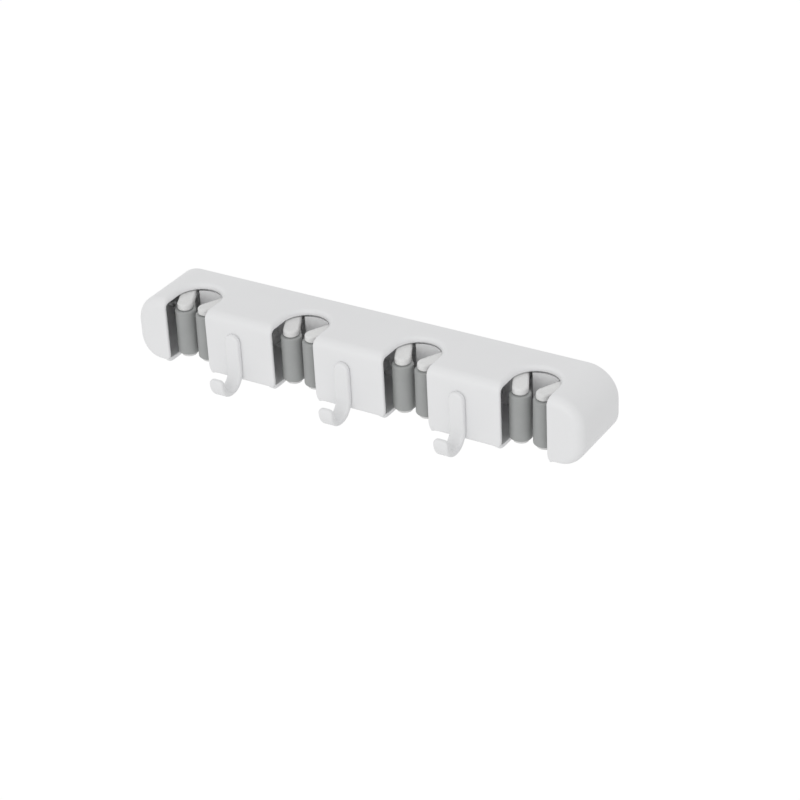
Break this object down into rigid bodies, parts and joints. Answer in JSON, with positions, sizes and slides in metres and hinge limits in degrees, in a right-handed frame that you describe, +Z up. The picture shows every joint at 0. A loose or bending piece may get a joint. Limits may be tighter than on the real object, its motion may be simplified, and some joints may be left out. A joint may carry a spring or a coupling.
{
  "type": "wall mop holder rack",
  "caption": "Long white wall rack whose U-shaped slots hold broom and mop handles between sprung rubber rollers, with J hooks on the front for cloths and brushes.",
  "frame": {"origin": "middle of the flat wall face of the back", "axes": "+X along the rack to the right seen from the front, +Y into the wall, +Z up"},
  "size_m": [0.341, 0.076, 0.0509],
  "materials": {
    "cover_plastic": "satin moulded ABS, white",
    "base_plastic": "satin moulded ABS, white",
    "hook_plastic": "satin moulded ABS, white",
    "arm_plastic": "satin moulded plastic, white",
    "roller_rubber": "matt thermoplastic rubber, mid grey",
    "core_plastic": "moulded plastic, white",
    "pin_steel": "drawn steel",
    "spring_steel": "drawn spring wire",
    "screw_steel": "zinc-plated steel"
  },
  "bodies": {
    "rack": {"cover": "cover_plastic", "base": "base_plastic", "cover_screws": "screw_steel", "hook_1": "hook_plastic", "hook_2": "hook_plastic", "hook_3": "hook_plastic", "pivot_1_left": "pin_steel", "pivot_1_right": "pin_steel", "pivot_2_left": "pin_steel", "pivot_2_right": "pin_steel", "pivot_3_left": "pin_steel", "pivot_3_right": "pin_steel", "pivot_4_left": "pin_steel", "pivot_4_right": "pin_steel", "spring_1_left": "spring_steel", "spring_1_right": "spring_steel", "spring_2_left": "spring_steel", "spring_2_right": "spring_steel", "spring_3_left": "spring_steel", "spring_3_right": "spring_steel", "spring_4_left": "spring_steel", "spring_4_right": "spring_steel"},
    "swing_arm_1_left": {"arm_1_left": "arm_plastic", "axle_1_left": "pin_steel"},
    "spin_roller_1_left": {"roller_1_left": "roller_rubber", "core_1_left": "core_plastic"},
    "swing_arm_1_right": {"arm_1_right": "arm_plastic", "axle_1_right": "pin_steel"},
    "spin_roller_1_right": {"roller_1_right": "roller_rubber", "core_1_right": "core_plastic"},
    "swing_arm_2_left": {"arm_2_left": "arm_plastic", "axle_2_left": "pin_steel"},
    "spin_roller_2_left": {"roller_2_left": "roller_rubber", "core_2_left": "core_plastic"},
    "swing_arm_2_right": {"arm_2_right": "arm_plastic", "axle_2_right": "pin_steel"},
    "spin_roller_2_right": {"roller_2_right": "roller_rubber", "core_2_right": "core_plastic"},
    "swing_arm_3_left": {"arm_3_left": "arm_plastic", "axle_3_left": "pin_steel"},
    "spin_roller_3_left": {"roller_3_left": "roller_rubber", "core_3_left": "core_plastic"},
    "swing_arm_3_right": {"arm_3_right": "arm_plastic", "axle_3_right": "pin_steel"},
    "spin_roller_3_right": {"roller_3_right": "roller_rubber", "core_3_right": "core_plastic"},
    "swing_arm_4_left": {"arm_4_left": "arm_plastic", "axle_4_left": "pin_steel"},
    "spin_roller_4_left": {"roller_4_left": "roller_rubber", "core_4_left": "core_plastic"},
    "swing_arm_4_right": {"arm_4_right": "arm_plastic", "axle_4_right": "pin_steel"},
    "spin_roller_4_right": {"roller_4_right": "roller_rubber", "core_4_right": "core_plastic"}
  },
  "joints": [
    {"name": "arm_swing_1_left", "type": "hinge", "parent": "rack", "child": "swing_arm_1_left", "pos_m": [-0.1468, -0.0195, 0], "axis": [0, 0, -1], "range_deg": [0, 40], "stiffness_Nm_per_rad": 0.15, "springref_deg": -34.38, "deforming": ["spring_1_left"]},
    {"name": "roller_spin_1_left", "type": "hinge", "parent": "swing_arm_1_left", "child": "spin_roller_1_left", "pos_m": [-0.1375, -0.038, 0], "axis": [0, 0, 1], "continuous": true},
    {"name": "arm_swing_1_right", "type": "hinge", "parent": "rack", "child": "swing_arm_1_right", "pos_m": [-0.1112, -0.0195, 0], "axis": [0, 0, 1], "range_deg": [0, 40], "stiffness_Nm_per_rad": 0.15, "springref_deg": -34.38, "deforming": ["spring_1_right"]},
    {"name": "roller_spin_1_right", "type": "hinge", "parent": "swing_arm_1_right", "child": "spin_roller_1_right", "pos_m": [-0.1205, -0.038, 0], "axis": [0, 0, 1], "continuous": true},
    {"name": "arm_swing_2_left", "type": "hinge", "parent": "rack", "child": "swing_arm_2_left", "pos_m": [-0.0608, -0.0195, 0], "axis": [0, 0, -1], "range_deg": [0, 40], "stiffness_Nm_per_rad": 0.15, "springref_deg": -34.38, "deforming": ["spring_2_left"]},
    {"name": "roller_spin_2_left", "type": "hinge", "parent": "swing_arm_2_left", "child": "spin_roller_2_left", "pos_m": [-0.0515, -0.038, 0], "axis": [0, 0, 1], "continuous": true},
    {"name": "arm_swing_2_right", "type": "hinge", "parent": "rack", "child": "swing_arm_2_right", "pos_m": [-0.0252, -0.0195, 0], "axis": [0, 0, 1], "range_deg": [0, 40], "stiffness_Nm_per_rad": 0.15, "springref_deg": -34.38, "deforming": ["spring_2_right"]},
    {"name": "roller_spin_2_right", "type": "hinge", "parent": "swing_arm_2_right", "child": "spin_roller_2_right", "pos_m": [-0.0345, -0.038, 0], "axis": [0, 0, 1], "continuous": true},
    {"name": "arm_swing_3_left", "type": "hinge", "parent": "rack", "child": "swing_arm_3_left", "pos_m": [0.0252, -0.0195, 0], "axis": [0, 0, -1], "range_deg": [0, 40], "stiffness_Nm_per_rad": 0.15, "springref_deg": -34.38, "deforming": ["spring_3_left"]},
    {"name": "roller_spin_3_left", "type": "hinge", "parent": "swing_arm_3_left", "child": "spin_roller_3_left", "pos_m": [0.0345, -0.038, 0], "axis": [0, 0, 1], "continuous": true},
    {"name": "arm_swing_3_right", "type": "hinge", "parent": "rack", "child": "swing_arm_3_right", "pos_m": [0.0608, -0.0195, 0], "axis": [0, 0, 1], "range_deg": [0, 40], "stiffness_Nm_per_rad": 0.15, "springref_deg": -34.38, "deforming": ["spring_3_right"]},
    {"name": "roller_spin_3_right", "type": "hinge", "parent": "swing_arm_3_right", "child": "spin_roller_3_right", "pos_m": [0.0515, -0.038, 0], "axis": [0, 0, 1], "continuous": true},
    {"name": "arm_swing_4_left", "type": "hinge", "parent": "rack", "child": "swing_arm_4_left", "pos_m": [0.1112, -0.0195, 0], "axis": [0, 0, -1], "range_deg": [0, 40], "stiffness_Nm_per_rad": 0.15, "springref_deg": -34.38, "deforming": ["spring_4_left"]},
    {"name": "roller_spin_4_left", "type": "hinge", "parent": "swing_arm_4_left", "child": "spin_roller_4_left", "pos_m": [0.1205, -0.038, 0], "axis": [0, 0, 1], "continuous": true},
    {"name": "arm_swing_4_right", "type": "hinge", "parent": "rack", "child": "swing_arm_4_right", "pos_m": [0.1468, -0.0195, 0], "axis": [0, 0, 1], "range_deg": [0, 40], "stiffness_Nm_per_rad": 0.15, "springref_deg": -34.38, "deforming": ["spring_4_right"]},
    {"name": "roller_spin_4_right", "type": "hinge", "parent": "swing_arm_4_right", "child": "spin_roller_4_right", "pos_m": [0.1375, -0.038, 0], "axis": [0, 0, 1], "continuous": true}
  ]
}
